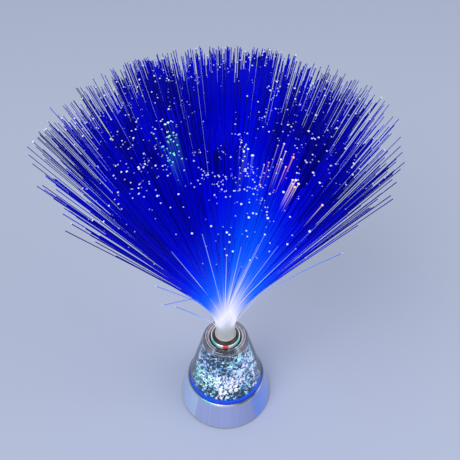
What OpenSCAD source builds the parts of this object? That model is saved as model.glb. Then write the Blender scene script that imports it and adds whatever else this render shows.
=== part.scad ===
// Fibre optic lamp: a battery base with a clear cone of crystal chips, and a spray of
// light-carrying strands that lifts out of a swivelling bush in the collar.
// The origin is the centre of the foot ring, on the surface the lamp stands on. Front is -Y.

/* [Base] */
// Radius of the skirt at its foot
base_r = 45; // [44:0.5:46]
// Radius of the skirt at its top edge
base_top_r = 38.4; // [38:0.1:39]
// Height of the deck that carries the cone
deck_z = 29.4; // [29:0.2:31]
// Wall thickness of the skirt
skirt_wall = 2.2; // [2:0.1:2.6]

/* [Cone] */
// Outer radius of the clear cone at its foot
cone_foot_r = 36.4; // [36:0.1:36.5]
// Outer radius of the clear cone where it meets its rounded lip
cone_shoulder_r = 21.6; // [21.4:0.1:22]
// Height at which the wall meets the lip, and of the collar's seat
shoulder_z = 88.6; // [88:0.2:89]
// Wall thickness of the clear cone
cone_wall = 2.4; // [2:0.1:2.6]
// Width of the glowing ring under the cone's thick foot
light_ring_w = 3.2; // [2.8:0.1:3.6]

/* [Crystals] */
// Centre to centre distance of the chips
chip_pitch = 8; // [7.5:0.5:8]
// Size of a chip, as a share of that distance
chip_fill = 0.48; // [0.4:0.01:0.49]

/* [Collar and socket] */
// Height of the collar's chrome rim
collar_z = 94; // [93:0.2:95]
// Outer radius of the collar's chrome rim
collar_r = 13.6; // [13.5:0.05:13.7]
// Radius of the bush, which turns in the collar
bush_r = 12.4; // [12.2:0.1:12.5]

/* [Spray] */
// Radius of the bundle of strands
bundle_r = 9.2; // [9:0.05:9.3]
// Height at which the strands leave the bundle
bundle_z = 110; // [104:1:116]
// Number of strands modelled
strand_count = 320; // [300:10:340]
// Radius of a strand
strand_r = 0.36; // [0.3:0.02:0.36]
// Length of the longest strand above the bundle
strand_length = 242; // [200:1:260]
// Tilt of the middle strands as they launch, in degrees
inner_tilt = 4; // [3:0.5:6]
// Tilt added out to the edge of the spray, in degrees
fan_tilt = 18; // [14:0.5:22]
// More tilt on the few outermost strands, in degrees
stray_tilt = 7; // [4:0.5:12]
// Share by which the spray leans back, away from the front
lean = 0.1; // [0:0.02:0.12]

/* [Battery bay] */
// Diameter of a cell
cell_d = 10.5; // [10.5:0.1:10.6]
// Length of a cell with its nub
cell_l = 44.5; // [44:0.1:44.6]
// Number of cells side by side
cell_count = 3; // [3:1:3]

/* [Moving parts] */
// Travel of the power switch's knob
switch_travel = 4; // [3:0.5:4]
// Clearance of a turning piece in its bore
running_gap = 0.05; // [0.02:0.01:0.08]

/* [Hidden] */
$fn = 96;
fit_gap = 0.1;
loose_gap = 0.3;
through = 40;

// Foot ring and base plate
foot_inner_r = 36.6;
foot_outer_r = 41;
foot_h = 2;
plate_z = 1.2;
plate_h = 2.4;
plate_top = plate_z + plate_h;
plate_r = base_r - skirt_wall - 0.5;
screw_ring_r = 32.8;
screw_head_r = 2.6;
screw_r = 1.25;
boss_r = 3.2;
boss_top = 12;
rim_z = 0.8;
rim_h = 1.2;
edge_r = 0.7;
screw_head_z = 1.4;
screw_head_h = 1.5;
screw_slot = 0.7;
screw_tip_z = 10;
screw_hole_z = 10.5;
rib_w = 2;
rib_reach = 7.4;

// Battery bay
bay_l = cell_l + 5.5;
cell_pitch = cell_d + 0.6;
bay_w = cell_count * cell_pitch + 0.2;
bay_wall = 1.4;
bay_top = 14.6;
cell_z = 8.9;
nub_r = 1.9;
nub_h = 0.8;
saddle_l = bay_l - 12;
saddle_w = 1;
saddle_h = 2.4;
contact_t = 0.4;
contact_w = 8;
tab_w = 2;
tab_top = 18;
spring_r = 3;
spring_taper = 0.4;
spring_wire_r = 0.3;
spring_turns = 3;
spring_steps = 12;

// Battery door
door_t = 2;
door_gap = 0.3;
door_far_y = door_gap - bay_w / 2;
hinge_y = bay_w / 2 + 0.85;
door_near_y = hinge_y - 2.1;
grip_l = 14;
grip_w = 0.8;
grip_pitch = 2;
notch_r = 4;
hinge_z = 2.5;
hinge_x = 14;
pin_r = 0.6;
knuckle_r = 1.3;
knuckle_l = 6;
link_l = 3;
ear_gap = 0.4;
pin_l = 9;
pin_fit = 0.01;

// Power switch, in its ON place at rest
switch_y = -24.5;
knob_w = 4;
knob_d = 3.4;
slot_gap = 0.2;
slot_w = knob_w + switch_travel + 2 * slot_gap;
slot_d = knob_d + 2 * slot_gap;
knob_z = 0.6;
knob_h = 3.2;
stem_size = [2.4, 2.6, 3];
groove = 0.4;
groove_pitch = 1.1;
housing_size = [14, 7.6, 6.4];
housing_hollow = 3.6;

// Light board
board_r = 27;
board_z = 22;
board_t = 1.6;
board_top = board_z + board_t;
standoffs = [[-20, -12], [-20, 12], [21, 0]];
standoff_r = 2.5;
board_hole_r = 1.2;
board_screw_r = 0.95;
board_screw_z = 17.6;
board_head_r = 1.9;
board_head_h = 1.2;
big_led_r = 2.5;
big_led_h = 8.6;
big_led_ring = 5;
small_led_r = 1.5;
small_led_h = 5;
small_led_ring = 20;
chip_blob_r = 3.4;
chip_blob_top_r = 2;
chip_blob_h = 1.3;
resistor_r = 0.9;
resistor_l = 4;
capacitor_r = 2.5;
capacitor_h = 4.6;
small_led_angles = [45, 135, 225, 315];

// Cone, floor, rings and tube
deck_t = 2;
deck_inner_r = 29.5;
ring_h = 1.6;
cone_z = deck_z + ring_h;
cone_slope = (cone_foot_r - cone_shoulder_r) / (shoulder_z - cone_z);
foot_inner = cone_foot_r - light_ring_w;
foot_top = cone_z + (light_ring_w - cone_wall) / cone_slope;
bead_r = 0.7;
bead_ring_r = cone_foot_r + 0.9;
trim_w = 1.4;
tongue_slot = 0.5;
tongue_turn = -45;
tongue_half = 3;
tube_outer_r = 12.4;
tube_inner_r = 10.6;
tube_top = 75.2;
lip_round = 4.6;
lip_start = 15;
lip_r = cone_shoulder_r - lip_round * cos(lip_start);
lip_top = shoulder_z + lip_round * (1 - sin(lip_start));
dish_round = 2.2;
ceiling_z = shoulder_z - cone_wall;
ceiling_round = 2.2;
heap_gap = 5;
chip_belt_r = 0.83;
chip_upper_z = 0.5;
chip_lower_z = 0.45;

// Collar, bush and ferrule
collar_tube_z = 78;
collar_round = 0.5;
collar_flange_r = lip_r - dish_round - fit_gap;
collar_flange_h = 0.6;
neck_r = collar_r + fit_gap;
flange_r = bush_r + 0.8;
flange_h = 2.2;
bush_inner_r = 9.75;
bush_cone_h = 2.5;
bush_lip = 0.3;
bush_top = collar_z + bush_cone_h;
bush_hole_r = 8.3;
bush_z = 60.5;
bush_seat = 62;
ferrule_r = bush_inner_r - running_gap;
ferrule_z = bush_seat + 0.05;
ferrule_lip = 0.4;
ferrule_top = bush_top + ferrule_lip;
slice_h = 2;

// Strands: the sunflower rule spreads their roots evenly over the bundle
golden_angle = 137.508;
spread_length = 22;
droop = 14;
tufts = 7;
tuft_pull = 4.5;
tuft_turn = 20;
small_tufts = 13;
small_pull = 1.8;
knots = [0, 0.055, 0.16, 0.45, 1];
wander = rands(-1, 1, 3 * strand_count, 11);

// Wires, by hand
wire_r = 0.6;
positive_route = [[24.8, 11.1, 18.1], [24.8, 11.1, 18.8], [24.6, 11, 19.6], [23.6, 10.6, 20.3],
    [23.2, 10.4, 21], [23.2, 10.4, 21.9]];
negative_route = [[-24.8, -11.1, 18.1], [-24.8, -11.1, 18.8], [-24.7, -9.5, 19.6], [-24, -6, 20.2],
    [-23.6, -4.6, 21], [-23.6, -4.6, 21.9]];
switch_route = [[-3, -24.5, 10.1], [-3, -24.5, 11], [-3.2, -24.9, 14], [-3.4, -24.7, 17],
    [-3.4, -23.4, 19.5], [-3.4, -23, 21], [-3.4, -23, 21.9]];

function unit(v) = v / norm(v);
function tangent(path, k) = unit(path[min(k + 1, len(path) - 1)] - path[max(k - 1, 0)]);
function section(path, k, r, n, side) =
    let (t = tangent(path, k), u = unit(cross(side, t)), v = cross(t, u))
    [for (j = [0 : n - 1]) path[k] + r * (cos(360 * j / n) * u + sin(360 * j / n) * v)];
function mirrored_y(route) = [for (p = route) [-p[0], p[1], p[2]]];
function cone_r(z) = cone_foot_r - cone_slope * (z - cone_z);
function chip_corner(a, z) = [chip_belt_r * cos(a), chip_belt_r * sin(a), z];
function arc(centre, r, angles) = [for (a = angles) centre + r * [cos(a), sin(a)]];

// A tube of n flat sides along a path; side is a direction that the path never takes
module tube(path, r, n, side) {
    last = (len(path) - 1) * n;
    points = [for (k = [0 : len(path) - 1]) each section(path, k, r, n, side)];
    walls = [for (k = [0 : len(path) - 2]) for (j = [0 : n - 1])
        let (a = k * n + j, b = k * n + (j + 1) % n) each [[a, a + n, b], [b, a + n, b + n]]];
    ends = [for (j = [1 : n - 2]) each [[0, j, j + 1], [last, last + j + 1, last + j]]];
    polyhedron(points, concat(walls, ends), convexity = 4);
}

module ring(r_in, r_out, z, h) {
    translate([0, 0, z]) difference() {
        cylinder(r = r_out, h = h);
        translate([0, 0, -1]) cylinder(r = r_in, h = h + 2);
    }
}

module box(centre, size, z) {
    translate([centre[0] - size[0] / 2, centre[1] - size[1] / 2, z]) cube(size);
}

// Base ------------------------------------------------------------------------------------

module foot_ring() color("dimgray") ring(foot_inner_r, foot_outer_r, 0, foot_h);

module base_plate() color("gainsboro") difference() {
    union() {
        translate([0, 0, plate_z]) cylinder(r = plate_r, h = plate_h);
        bay_shell();
        for (p = standoffs) translate([p[0], p[1], bay_top + bay_wall])
            cylinder(r = standoff_r, h = board_z - bay_top - bay_wall);
    }
    bay_hollow();
    ring(foot_inner_r - fit_gap, foot_outer_r + fit_gap, 0, foot_h);
    for (a = [0 : 90 : 270]) rotate(a) translate([screw_ring_r, 0, 0]) {
        cylinder(r = screw_head_r + fit_gap, h = screw_head_z + screw_head_h);
        cylinder(r = screw_r + fit_gap, h = plate_top + 1);
    }
    for (p = standoffs) translate([p[0], p[1], board_screw_z - 0.6])
        cylinder(r = board_screw_r + 0.05, h = board_z);
    for (x = [-hinge_x, hinge_x]) {
        box([x, hinge_y],
            [knuckle_l + 2 * ear_gap, 2 * (knuckle_r + ear_gap), hinge_z + knuckle_r + ear_gap], 0);
        translate([x - pin_l / 2, hinge_y, hinge_z]) rotate([0, 90, 0])
            cylinder(r = pin_r, h = pin_l);
    }
    box([0, switch_y], [slot_w, slot_d, plate_top + 1], 0);
}

module bay_shell() {
    box([0, 0], [bay_l + 2 * bay_wall, bay_w + 2 * bay_wall, bay_top + bay_wall - plate_z], plate_z);
}

module bay_hollow() {
    difference() {
        union() {
            box([0, 0], [bay_l, bay_w, bay_top - plate_top], plate_top);
            box([0, -0.2], [bay_l, bay_w - 0.4, plate_top + 0.1], 0);
        }
        for (s = [-1, 1])
            box([0, s * cell_pitch / 2], [saddle_l, saddle_w, saddle_h + 0.1], bay_top - saddle_h);
    }
    for (s = [-1, 1]) for (k = [-1 : 1])
        box([s * (bay_l / 2 - contact_t / 2), k * cell_pitch], [contact_t, tab_w, 6], bay_top - 1);
}

module base_screws() color("silver") for (a = [0 : 90 : 270])
    rotate(a) translate([screw_ring_r, 0, 0]) difference() {
        union() {
            translate([0, 0, screw_head_z]) cylinder(r = screw_head_r, h = screw_head_h);
            translate([0, 0, screw_head_z + 0.6])
                cylinder(r = screw_r, h = screw_tip_z - screw_head_z - 0.6);
        }
        for (t = [0, 90]) rotate(t)
            box([0, 0], [1.2 * screw_head_r, screw_slot, screw_head_h], screw_head_z - screw_slot);
    }

module base_skirt() color([0.66, 0.69, 0.85]) difference() {
    union() {
        rotate_extrude() polygon(concat(
            [[base_r, rim_z], [base_r, rim_z + rim_h]],
            arc([base_top_r - edge_r, deck_z - edge_r], edge_r, [0 : 30 : 90]),
            [[deck_inner_r, deck_z], [deck_inner_r, deck_z - deck_t],
                [base_top_r - skirt_wall, deck_z - deck_t],
                [base_r - skirt_wall, rim_z + rim_h], [base_r - skirt_wall, rim_z]]));
        for (a = [0 : 90 : 270]) rotate(a) screw_boss();
    }
    for (a = [0 : 90 : 270]) rotate(a) translate([screw_ring_r, 0, 0])
        cylinder(r = screw_r, h = screw_hole_z);
}

module screw_boss() {
    translate([screw_ring_r, 0, plate_top]) cylinder(r = boss_r, h = boss_top - plate_top);
    box([screw_ring_r + 1.1 + rib_reach / 2, 0], [rib_reach, rib_w, boss_top - plate_top], plate_top);
}

// Battery bay -----------------------------------------------------------------------------

// Even cells point their nub to +X and odd ones to -X
module each_cell() {
    for (i = [0 : cell_count - 1])
        translate([0, (i - 1) * cell_pitch, cell_z]) rotate([0, 0, 180 * (i % 2)]) children();
}

module battery_cells() color("darkslategray") each_cell() {
    nub_end = bay_l / 2 - contact_t - 0.05;
    translate([nub_end - cell_l, 0, 0]) rotate([0, 90, 0]) {
        cylinder(r = cell_d / 2 - 0.05, h = cell_l - nub_h);
        cylinder(r = nub_r, h = cell_l);
    }
}

module contact_plates() color("silver") {
    each_cell() for (s = [-1, 1]) {
        x = s * (bay_l / 2 - contact_t / 2);
        translate([0, 0, -cell_z]) {
            box([x, 0], [contact_t, contact_w, contact_w], cell_z - contact_w / 2);
            box([x, 0], [contact_t, tab_w, tab_top - cell_z], cell_z);
        }
    }
}

// Each spring is one helix that narrows towards the cell
module contact_springs() color("silver") each_cell() {
    start = -bay_l / 2 + contact_t + spring_wire_r + 0.1;
    reach = bay_l - cell_l - 2 * contact_t - 2 * spring_wire_r - 0.3;
    last = spring_turns * spring_steps;
    helix = [for (k = [0 : last])
        let (a = 360 * k / spring_steps, r = spring_r * (1 - spring_taper * k / last))
        [start + reach * k / last, r * cos(a), r * sin(a)]];
    tube(helix, spring_wire_r, 5, [1, 0, 0]);
}

module battery_door() color("gainsboro") difference() {
    union() {
        box([0, (door_near_y + door_far_y) / 2],
            [bay_l - 2 * door_gap, door_near_y - door_far_y, door_t], plate_z);
        for (x = [-hinge_x, hinge_x]) {
            box([x, hinge_y - link_l / 2], [knuckle_l, link_l, door_t - 0.1], plate_z + 0.1);
            translate([x - knuckle_l / 2, hinge_y, hinge_z]) rotate([0, 90, 0])
                cylinder(r = knuckle_r, h = knuckle_l);
        }
    }
    for (x = [-hinge_x, hinge_x]) translate([x - knuckle_l / 2 - 1, hinge_y, hinge_z])
        rotate([0, 90, 0]) cylinder(r = pin_r + running_gap - pin_fit, h = knuckle_l + 2);
    // finger notch at the free edge, and grip grooves beside it
    translate([0, -bay_w / 2, plate_z - 0.2]) cylinder(r = notch_r, h = 1.2);
    for (k = [0 : 3])
        box([0, notch_r + 1 - bay_w / 2 + grip_pitch * k], [grip_l, grip_w, 0.6], plate_z - 0.2);
}

module door_hinge_pins() color("silver") for (x = [-hinge_x, hinge_x])
    translate([x - pin_l / 2, hinge_y, hinge_z]) rotate([0, 90, 0])
        cylinder(r = pin_r - pin_fit, h = pin_l);

// Power switch ----------------------------------------------------------------------------

module switch_housing() color([0.1, 0.1, 0.11]) difference() {
    box([0, switch_y], housing_size, plate_top);
    box([0, switch_y], [slot_w, slot_d, housing_hollow], plate_top - 0.1);
}

module switch_knob() color([0.12, 0.12, 0.13]) difference() {
    union() {
        box([-switch_travel / 2, switch_y], [knob_w, knob_d, knob_h], knob_z);
        box([-switch_travel / 2, switch_y], stem_size, knob_z + knob_h - 0.1);
    }
    for (k = [-1 : 1])
        box([-switch_travel / 2 + groove_pitch * k, switch_y],
            [groove, knob_d + 1, groove], knob_z - 0.1);
}

// Light board -----------------------------------------------------------------------------

module led_board() color("seagreen") difference() {
    translate([0, 0, board_z]) cylinder(r = board_r, h = board_t);
    for (p = standoffs) translate([p[0], p[1], 0]) cylinder(r = board_hole_r, h = board_top + 1);
}

module board_screws() color("silver") for (p = standoffs) translate([p[0], p[1], 0]) difference() {
    union() {
        translate([0, 0, board_top]) cylinder(r = board_head_r, h = board_head_h);
        translate([0, 0, board_screw_z])
            cylinder(r = board_screw_r, h = board_top + board_head_h / 2 - board_screw_z);
    }
    box([0, 0], [1.3 * board_head_r, 0.5, 1], board_top + board_head_h - 0.5);
}

module led(r, h) {
    cylinder(r = r + 0.4, h = 1);
    cylinder(r = r, h = h - r);
    translate([0, 0, h - r]) sphere(r = r);
}

module fibre_leds() color("aliceblue") for (a = [90 : 120 : 330])
    rotate(a) translate([big_led_ring, 0, board_top]) led(big_led_r, big_led_h);

module crystal_leds() color("deepskyblue") for (a = small_led_angles)
    rotate(a) translate([small_led_ring, 0, board_top]) led(small_led_r, small_led_h);

module controller_chip() color([0.06, 0.06, 0.07]) translate([-17.5, 0, board_top]) {
    cylinder(r = chip_blob_r, h = chip_blob_h / 2);
    translate([0, 0, chip_blob_h / 2])
        cylinder(r1 = chip_blob_r, r2 = chip_blob_top_r, h = chip_blob_h / 2);
}

module resistors() color("tan") for (k = [-1 : 1])
    translate([3 * k - 3, -20.5, board_top + resistor_r + 0.2]) rotate([90, 0, 0]) {
        cylinder(r = resistor_r, h = resistor_l, center = true);
        for (s = [-1, 1]) translate([0, 0, 0.4 * s * resistor_l])
            cylinder(r = resistor_r + 0.2, h = 0.3 * resistor_l, center = true);
    }

module capacitor() color("navy") translate([5, 19, board_top]) {
    cylinder(r = capacitor_r - 0.1, h = capacitor_h);
    cylinder(r = capacitor_r, h = capacitor_h - 1);
}

module positive_wire() color("red") tube(positive_route, wire_r, 8, [0.2, 1, 0.3]);

module negative_wire() color("black") tube(negative_route, wire_r, 8, [1, 0.2, 0.3]);

module switch_wires() color("black") for (route = [switch_route, mirrored_y(switch_route)])
    tube(route, wire_r, 8, [1, 0, 0.1]);

// Cone, rings and crystals ----------------------------------------------------------------

module chamber_floor() color("white") difference() {
    ring(tube_outer_r + fit_gap, foot_inner - fit_gap, deck_z, ring_h);
    for (a = small_led_angles) rotate(a) translate([small_led_ring, 0, 0])
        cylinder(r = small_led_r + loose_gap, h = through);
}

module light_ring() color([0, 0.24, 0.8]) ring(foot_inner, cone_foot_r, deck_z, ring_h);

// A chrome bead, cut into a clip tongue at the front right
module trim_ring() color("gold") difference() {
    rotate_extrude() {
        translate([cone_foot_r + fit_gap, deck_z]) square([trim_w, ring_h]);
        translate([bead_ring_r, cone_z]) circle(r = bead_r, $fn = 24);
    }
    for (s = [-1, 1]) rotate(tongue_turn + tongue_half * s)
        box([bead_ring_r, 0], [4, tongue_slot, 4], deck_z + 0.6);
}

module light_tube() color([0.9, 0.95, 1, 0.4])
    ring(tube_inner_r, tube_outer_r, board_top, tube_top - board_top);

// The wall ends in a thick rounded lip, dished inside to seat the collar's flange
module crystal_cone() color([0.8, 0.9, 1, 0.3]) {
    ceiling_r = cone_r(ceiling_z - ceiling_round) - cone_wall - ceiling_round;
    rotate_extrude() polygon(concat(
        [[foot_inner, cone_z], [cone_foot_r, cone_z]],
        arc([lip_r, lip_top - lip_round], lip_round, [lip_start : 15 : 90]),
        arc([lip_r, lip_top - dish_round], dish_round, [105 : 15 : 180]),
        [[lip_r - dish_round, shoulder_z], [neck_r, shoulder_z], [neck_r, ceiling_z]],
        arc([ceiling_r, ceiling_z - ceiling_round], ceiling_round, [90 : -15 : 0]),
        [[foot_inner, foot_top]]));
}

// A chip is a lump of two rings of four corners between two points
module chip(r, seed) {
    v = rands(0.72, 1, 10, seed);
    turn = rands(0, 360, 3, seed + 7);
    points = concat(
        [[0, 0, r * v[0]]],
        [for (k = [0 : 3]) r * v[k + 1] * chip_corner(90 * k, chip_upper_z)],
        [for (k = [0 : 3]) r * v[k + 5] * chip_corner(90 * k + 45, -chip_lower_z)],
        [[0, 0, -r * v[9]]]);
    rotate(turn) polyhedron(points, [for (k = [0 : 3]) let (n = (k + 1) % 4) each [
        [0, n + 1, k + 1], [k + 1, n + 1, k + 5], [n + 1, n + 5, k + 5], [k + 5, n + 5, 9]]]);
}

module crystal_chips() color([0.75, 0.88, 1]) {
    chip_r = chip_pitch * chip_fill;
    layers = floor((ceiling_z - cone_z - heap_gap) / chip_pitch);
    for (layer = [0 : layers - 1]) {
        z = cone_z + (layer + 0.5) * chip_pitch;
        r_low = collar_r + chip_r + fit_gap;
        top_z = z + chip_pitch / 2;
        r_high = min(foot_inner, cone_r(top_z) - cone_wall) - chip_r - fit_gap;
        rings = max(1, floor((r_high - r_low) / chip_pitch) + 1);
        for (j = [0 : rings - 1]) {
            r = rings == 1 ? (r_low + r_high) / 2 : r_low + (r_high - r_low) * j / (rings - 1);
            count = floor(360 / (2 * asin(chip_pitch / 2 / r)));
            for (k = [0 : count - 1]) rotate(360 * (k + 0.37 * layer) / count)
                translate([r, 0, z]) chip(chip_r, 100 * layer + 40 * j + k);
        }
    }
}

// Collar and socket -----------------------------------------------------------------------

module collar_ring() color("silver") difference() {
    union() {
        translate([0, 0, shoulder_z]) cylinder(r = collar_flange_r, h = collar_flange_h);
        translate([0, 0, collar_tube_z]) rotate_extrude() {
            square([collar_r - collar_round, collar_z - collar_tube_z]);
            square([collar_r, collar_z - collar_tube_z - collar_round]);
            translate([collar_r - collar_round, collar_z - collar_tube_z - collar_round])
                circle(r = collar_round, $fn = 24);
        }
    }
    translate([0, 0, collar_tube_z - 1]) cylinder(r = bush_r + running_gap, h = through);
    translate([0, 0, collar_z - 0.4]) cylinder(r1 = bush_r, r2 = bush_r + 0.6, h = 0.5);
}

// The bush turns in the collar. Its flange is caught between the collar and the light tube.
module socket_bush() color([0.16, 0.13, 0.14]) difference() {
    union() {
        translate([0, 0, bush_z]) cylinder(r = tube_inner_r - loose_gap, h = tube_top - bush_z + 1);
        translate([0, 0, tube_top + loose_gap]) cylinder(r = flange_r, h = flange_h);
        translate([0, 0, tube_top + 1]) cylinder(r = bush_r, h = collar_z - tube_top - 1);
        translate([0, 0, collar_z])
            cylinder(r1 = bush_r, r2 = bush_inner_r + bush_lip, h = bush_cone_h);
    }
    translate([0, 0, bush_seat]) cylinder(r = bush_inner_r, h = through);
    translate([0, 0, bush_z - 1]) cylinder(r = bush_hole_r, h = through);
}

// Spray -----------------------------------------------------------------------------------

module fibre_ferrule() color([0.93, 0.9, 0.82])
    ring(bundle_r, ferrule_r, ferrule_z, ferrule_top - ferrule_z);

module fibre_bundle() color([0.72, 0.75, 0.8]) translate([0, 0, ferrule_z])
    cylinder(r = bundle_r, h = bundle_z - slice_h - ferrule_z);

function root_radius(i) = (bundle_r - strand_r - 0.1) * sqrt((i + 0.5) / strand_count);
function root_angle(i) = i * golden_angle;
// Outer strands launch at more tilt, and a few at the very edge stray further
function launch(i) = let (u = sqrt((i + 0.5) / strand_count))
    (inner_tilt + fan_tilt * u + stray_tilt * pow(u, 10)) * (1 + lean * sin(root_angle(i)))
    + 0.5 * wander[3 * i];
// Strands gather in tufts, so their bearings bunch up seven times round
function bearing(i) = let (a = root_angle(i))
    a + tuft_pull * sin(tufts * a + tuft_turn) + small_pull * sin(small_tufts * a)
    + 0.6 * wander[3 * i + 1];
function strand_reach(i) = strand_length * (1 - 0.07 * pow(wander[3 * i + 2], 2));
// Tilt at share f of the length: the launch grows out of the bundle, then gravity adds droop
function tilt(i, f) = launch(i) * (1 - exp(-f * strand_reach(i) / spread_length))
    + droop * sin(launch(i)) * (1 - pow(1 - f, 3));
function strand_point(i, k) = k == 0
    ? [root_radius(i) * cos(root_angle(i)), root_radius(i) * sin(root_angle(i)), bundle_z - 0.5]
    : let (t = tilt(i, (knots[k] + knots[k - 1]) / 2), b = bearing(i),
        d = (knots[k] - knots[k - 1]) * strand_reach(i))
      strand_point(i, k - 1) + d * [sin(t) * cos(b), sin(t) * sin(b), cos(t)];

// Three-sided strands, fused to the top slice of the bundle
module fibre_spray() color("blue") {
    translate([0, 0, bundle_z - slice_h]) cylinder(r = bundle_r, h = slice_h);
    for (i = [0 : strand_count - 1])
        tube([for (k = [0 : len(knots) - 1]) strand_point(i, k)], strand_r, 3,
            [-sin(bearing(i)), cos(bearing(i)), 0]);
}

foot_ring();
base_plate();
base_screws();
base_skirt();
battery_cells();
contact_springs();
contact_plates();
battery_door();
door_hinge_pins();
switch_housing();
switch_knob();
led_board();
board_screws();
fibre_leds();
crystal_leds();
controller_chip();
resistors();
capacitor();
positive_wire();
negative_wire();
switch_wires();
chamber_floor();
light_ring();
trim_ring();
light_tube();
crystal_cone();
crystal_chips();
collar_ring();
socket_bush();
fibre_ferrule();
fibre_bundle();
fibre_spray();
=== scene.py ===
"""Looks of a fibre optic lamp: a lacquered base, a clear cone of broken acrylic, a chrome collar
and a fan of glowing strands. Lengths are in millimetres until a mesh is made. The front is -Y."""

import bpy
import numpy as np
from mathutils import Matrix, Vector


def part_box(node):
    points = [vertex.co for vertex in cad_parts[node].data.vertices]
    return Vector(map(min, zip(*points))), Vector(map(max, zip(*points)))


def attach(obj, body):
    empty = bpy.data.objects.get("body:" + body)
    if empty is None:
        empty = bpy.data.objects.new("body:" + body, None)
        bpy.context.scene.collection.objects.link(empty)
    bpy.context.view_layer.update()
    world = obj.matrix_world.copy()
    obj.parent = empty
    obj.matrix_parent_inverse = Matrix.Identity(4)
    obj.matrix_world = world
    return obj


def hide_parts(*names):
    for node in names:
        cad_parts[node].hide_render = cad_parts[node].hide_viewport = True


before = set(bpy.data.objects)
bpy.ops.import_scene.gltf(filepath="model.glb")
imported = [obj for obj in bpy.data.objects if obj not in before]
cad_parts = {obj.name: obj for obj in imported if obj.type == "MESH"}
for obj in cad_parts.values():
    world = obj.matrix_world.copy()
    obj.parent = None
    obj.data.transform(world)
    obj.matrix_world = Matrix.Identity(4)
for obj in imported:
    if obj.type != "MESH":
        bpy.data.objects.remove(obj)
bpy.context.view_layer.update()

MM = 0.001
rng = np.random.default_rng(11)


def box(node):
    """The lowest and highest corner of a CAD node, in mm."""
    low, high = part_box(node)
    return np.array(low) / MM, np.array(high) / MM


# Camera and room --------------------------------------------------------------------------

CAMERA_AT = (4.2, -351, 575)
CAMERA_PITCH = 44.5  # degrees below the horizon
CAMERA_LENS = 49.45  # on a 36 mm sensor, 40 degrees across
PAPER = "#b6c0d8"
AMBIENT = 0.6
FLOOR_HALF = 3000
LIT_POINT = (0, 0, 60)  # middle of the cone, where both soft boxes point


def linear(hex_colour):
    """An sRGB hex colour as linear RGBA."""
    srgb = np.array([int(hex_colour[i : i + 2], 16) for i in (1, 3, 5)]) / 255
    rgb = np.where(srgb <= 0.04045, srgb / 12.92, ((srgb + 0.055) / 1.055) ** 2.4)
    return (*rgb.tolist(), 1.0)


def add(tree, kind, inputs=None, stops=None, **settings):
    """Adds one shader node. inputs maps a socket's name or number to a value or to the output
    that feeds it, stops are a colour ramp's (place, hex colour) pairs, settings its properties."""
    made = tree.nodes.new("ShaderNode" + kind)
    for name, value in settings.items():
        setattr(made, name, value)
    for key, value in (inputs or {}).items():
        if isinstance(value, bpy.types.NodeSocket):
            tree.links.new(value, made.inputs[key])
        else:
            made.inputs[key].default_value = value
    for i, (place, hex_colour) in enumerate(stops or ()):
        elements = made.color_ramp.elements
        stop = elements[i] if i < 2 else elements.new(place)
        stop.position = place
        stop.color = linear(hex_colour)
    return made


def add_object(name, data, turned=(0, 0, 0), at=(0, 0, 0)):
    """Links new data to the scene. turned is in degrees and at in mm."""
    made = bpy.data.objects.new(name, data)
    made.rotation_euler = np.radians(turned)
    made.location = np.array(at) * MM
    bpy.context.scene.collection.objects.link(made)
    return made


def make_camera():
    """The camera stands where the photograph's lines of sight meet."""
    data = bpy.data.cameras.new("camera")
    data.lens = CAMERA_LENS
    data.clip_start = 0.01
    bpy.context.scene.camera = add_object("camera", data, (90 - CAMERA_PITCH, 0, 0), CAMERA_AT)


def make_lamp(name, at, size, power):
    """A square soft box at a point, size mm wide and power W, facing the lamp's cone."""
    data = bpy.data.lights.new(name, "AREA")
    data.size = size * MM
    data.energy = power
    made = add_object(name, data, at=at)
    away = made.location - Vector(LIT_POINT) * MM
    made.rotation_euler = away.to_track_quat("Z", "Y").to_euler()


def make_world():
    """Even white light from all round. The camera, mirrors and glass see the pale backdrop."""
    world = bpy.data.worlds.new("studio")
    bpy.context.scene.world = world
    world.use_nodes = True
    tree = world.node_tree
    tree.nodes.clear()
    ray = add(tree, "LightPath")
    mirrored = add(tree, "Math", {0: ray.outputs["Is Camera Ray"], 1: ray.outputs["Is Glossy Ray"]},
                   operation="MAXIMUM")
    seen = add(tree, "Math", {0: mirrored.outputs[0], 1: ray.outputs["Is Transmission Ray"]},
               operation="MAXIMUM")
    ambient = add(tree, "Background", {"Color": linear("#ffffff"), "Strength": AMBIENT})
    backdrop = add(tree, "Background", {"Color": linear(PAPER), "Strength": 1.0})
    mixed = add(tree, "MixShader", {0: seen.outputs[0], 1: ambient.outputs[0],
                                    2: backdrop.outputs[0]})
    add(tree, "OutputWorld", {0: mixed.outputs[0]})


def make_floor():
    """A wide flat sheet of paper."""
    mesh = bpy.data.meshes.new("floor")
    corners = np.array([(-1, -1, 0), (1, -1, 0), (1, 1, 0), (-1, 1, 0)]) * FLOOR_HALF * MM
    mesh.from_pydata(corners.tolist(), [], [(0, 1, 2, 3)])
    mesh.materials.append(looks["studio_paper"])
    add_object("floor", mesh)


# Materials --------------------------------------------------------------------------------

# Places where a finish changes, in mm: (low, high) heights are Z, the others reach from the axis
SKIRT_R = 42  # about halfway up the skirt
SKIRT_RIM_Z = (0, 10)
CONE_FOOT_Z = (31, 51)
# The lip's pale and dark rings, between these heights and radii, are painted highlights and painted
# shadows.
CONE_LIP_Z = (86, 88.5)
LIP_RINGS_R = 12  # places on the lip are shares of LIP_RINGS_W, counted outwards from here
LIP_RINGS_W = 12
CHROME_LIT_Z = (89.5, 91)
BOARD_R = 27
CELL_REACH = 25

# Light that comes out of the strands' ends, by hue: green, white, lavender, white, orange, red
LIGHT_HUES = [(0.0, "#62e692"), (0.2, "#f2fff8"), (0.5, "#dfe4ff"), (0.75, "#fff6e8"),
              (0.88, "#ffcf98"), (0.94, "#ff9c5c"), (1.0, "#ff5a38")]


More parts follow.
